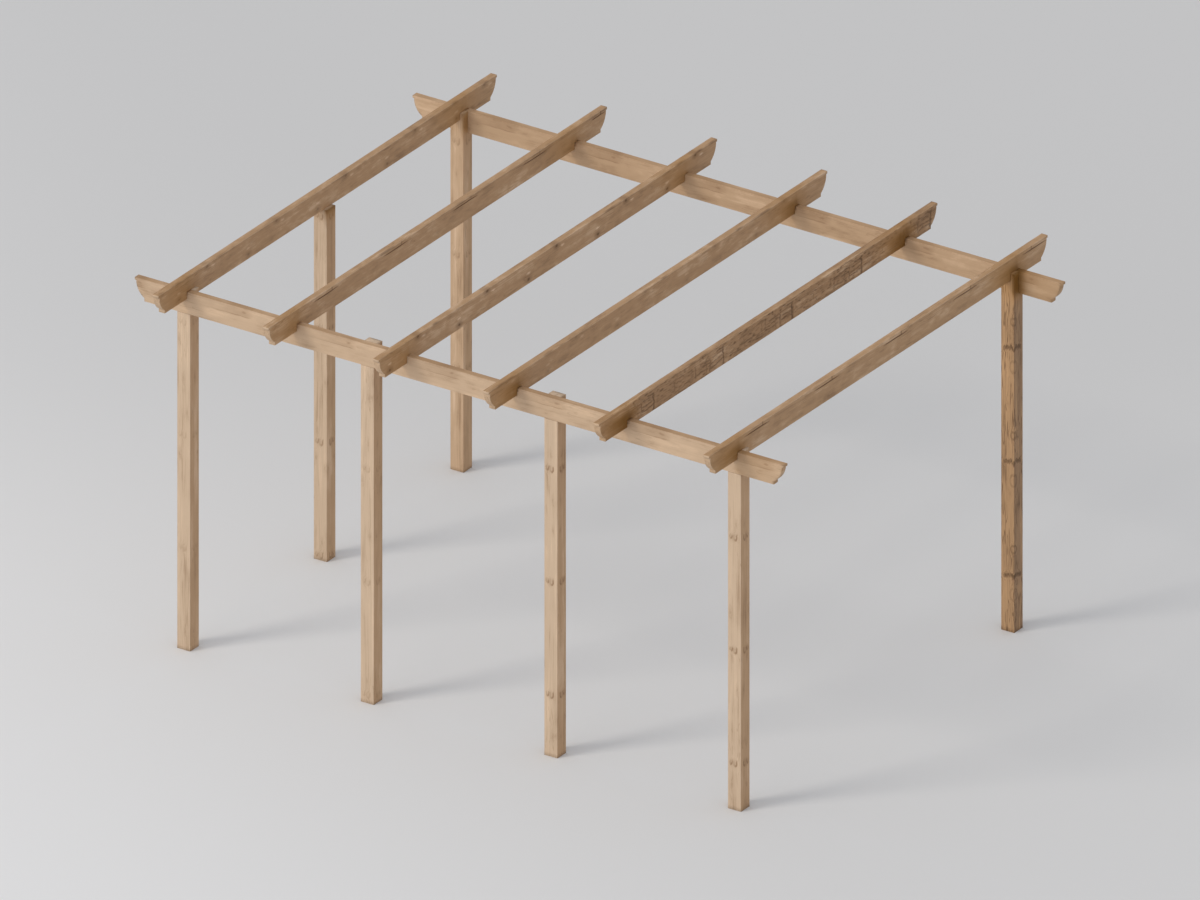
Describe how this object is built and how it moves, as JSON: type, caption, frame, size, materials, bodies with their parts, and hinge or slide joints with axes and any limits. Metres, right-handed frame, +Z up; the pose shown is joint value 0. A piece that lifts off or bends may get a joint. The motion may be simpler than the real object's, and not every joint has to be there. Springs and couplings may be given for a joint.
{
  "type": "open timber pergola frame",
  "caption": "Open timber pergola: square posts carry a front and a rear beam, and rafters with curved ends are halved across both to form an open roof.",
  "frame": {"origin": "on the floor under the middle of the roof", "axes": "+X along the beams to the right as seen from the front, +Y to the rear, +Z up"},
  "size_m": [4.703, 3.678, 2.5],
  "materials": {
    "post_pine": "planed, oiled light brown pine",
    "knotty_pine": "planed, darker pine with dense grain and knot bands",
    "beam_pine": "planed, oiled light brown pine",
    "rafter_pine": "planed, oiled light brown pine with small cracks",
    "rough_pine": "rough pine with a mottled, cracked figure"
  },
  "bodies": {
    "root": {"front_left_post": "post_pine", "front_inner_left_post": "post_pine", "front_inner_right_post": "post_pine", "front_right_post": "post_pine", "left_middle_post": "post_pine", "rear_left_post": "post_pine", "rear_right_post": "knotty_pine", "front_beam": "beam_pine", "rear_beam": "beam_pine", "rafter_1": "rafter_pine", "rafter_2": "rafter_pine", "rafter_3": "rafter_pine", "rafter_4": "rafter_pine", "rafter_5": "rough_pine", "rafter_6": "rafter_pine"}
  },
  "joints": []
}
